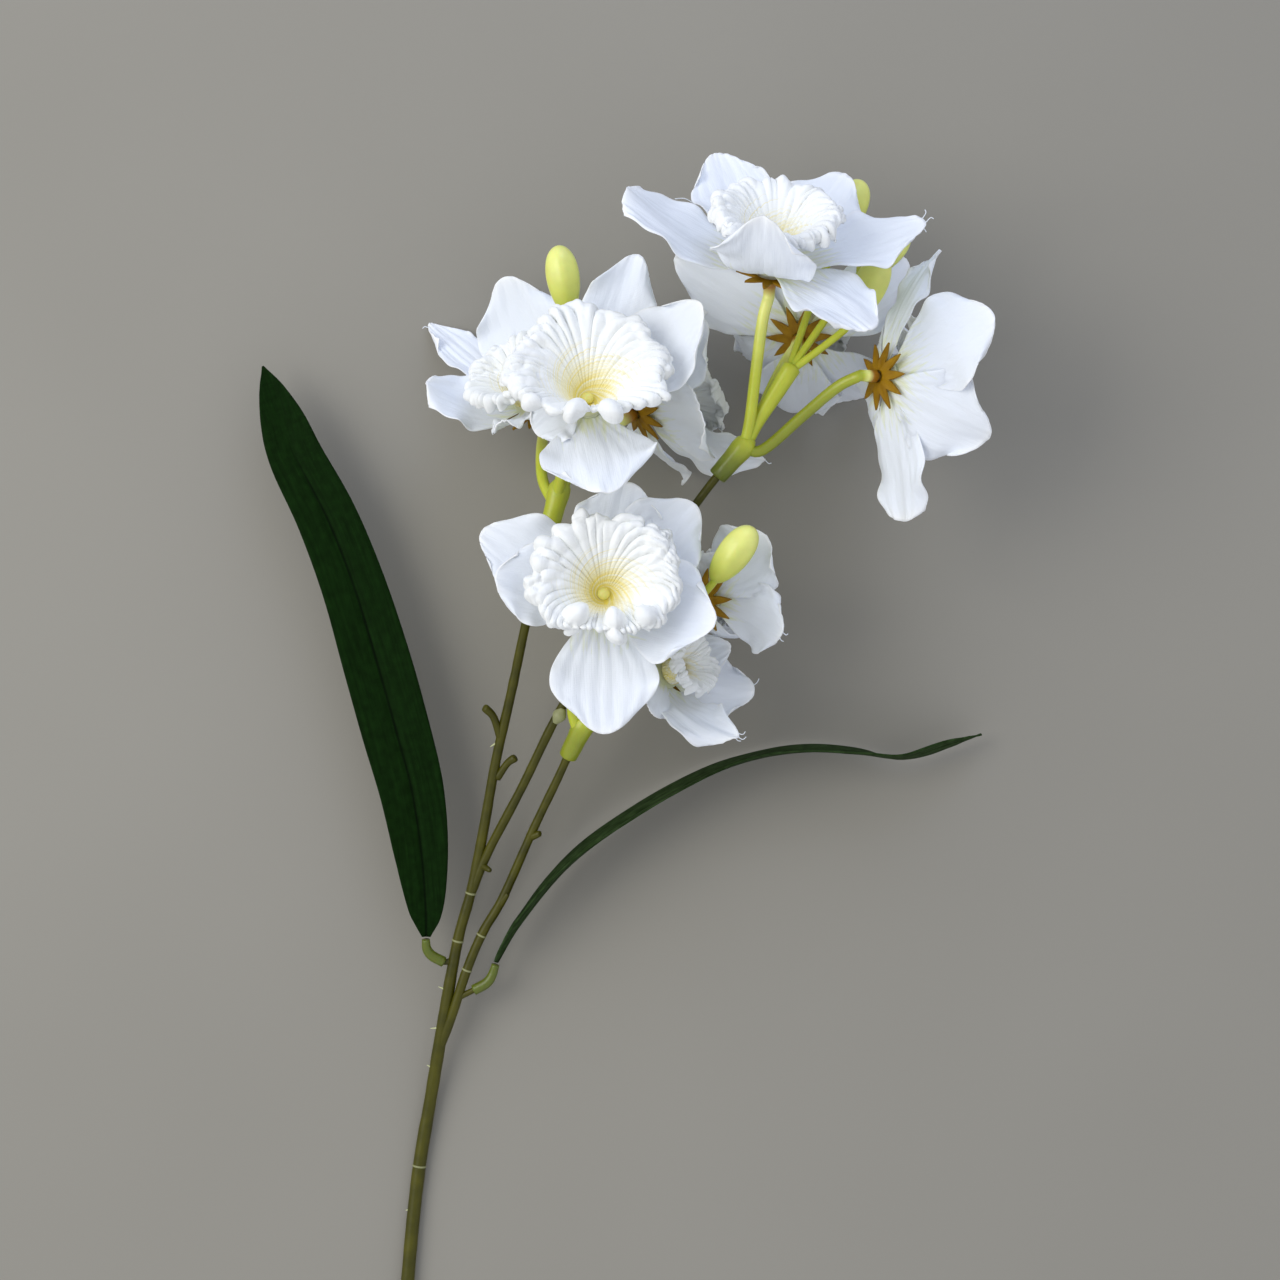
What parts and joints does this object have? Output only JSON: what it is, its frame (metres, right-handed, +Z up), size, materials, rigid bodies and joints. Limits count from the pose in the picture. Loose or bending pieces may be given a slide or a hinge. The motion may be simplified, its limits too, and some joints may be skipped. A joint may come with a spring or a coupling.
{
  "type": "artificial narcissus spray",
  "caption": "Artificial narcissus spray lying on its back: a forked plastic stem with umbels of white silk blooms and green buds, and two long strap leaves.",
  "frame": {"origin": "centre of the spray's outline, on the surface that it lies on", "axes": "+Y from the cut end of the stem towards the top bloom, +X across the spray, +Z up from the surface"},
  "size_m": [0.1988, 0.4288, 0.0922],
  "materials": {
    "olive_plastic": "satin",
    "lime_plastic": "satin",
    "white_silk": "matte",
    "golden_brown_plastic": "satin",
    "leaf_silk": "matte"
  },
  "bodies": {
    "root": {"stem": "olive_plastic", "umbel_right": "lime_plastic", "umbel_left": "lime_plastic", "umbel_lower": "lime_plastic", "petals_right_top": "white_silk", "petals_right_side": "white_silk", "petals_right_back": "white_silk", "petals_left_front": "white_silk", "petals_left_side": "white_silk", "petals_left_back": "white_silk", "petals_lower_front": "white_silk", "petals_lower_side": "white_silk", "petals_lower_right": "white_silk", "corona_right_top": "white_silk", "corona_right_side": "white_silk", "corona_right_back": "white_silk", "corona_left_front": "white_silk", "corona_left_side": "white_silk", "corona_left_back": "white_silk", "corona_lower_front": "white_silk", "corona_lower_side": "white_silk", "corona_lower_right": "white_silk", "calyx_right_top": "golden_brown_plastic", "calyx_right_side": "golden_brown_plastic", "calyx_right_back": "golden_brown_plastic", "calyx_left_front": "golden_brown_plastic", "calyx_left_side": "golden_brown_plastic", "calyx_left_back": "golden_brown_plastic", "calyx_lower_front": "golden_brown_plastic", "calyx_lower_side": "golden_brown_plastic", "calyx_lower_right": "golden_brown_plastic", "leaf_left": "leaf_silk", "leaf_right": "leaf_silk", "leaf_sleeve_left": "lime_plastic", "leaf_sleeve_right": "lime_plastic"}
  },
  "joints": []
}
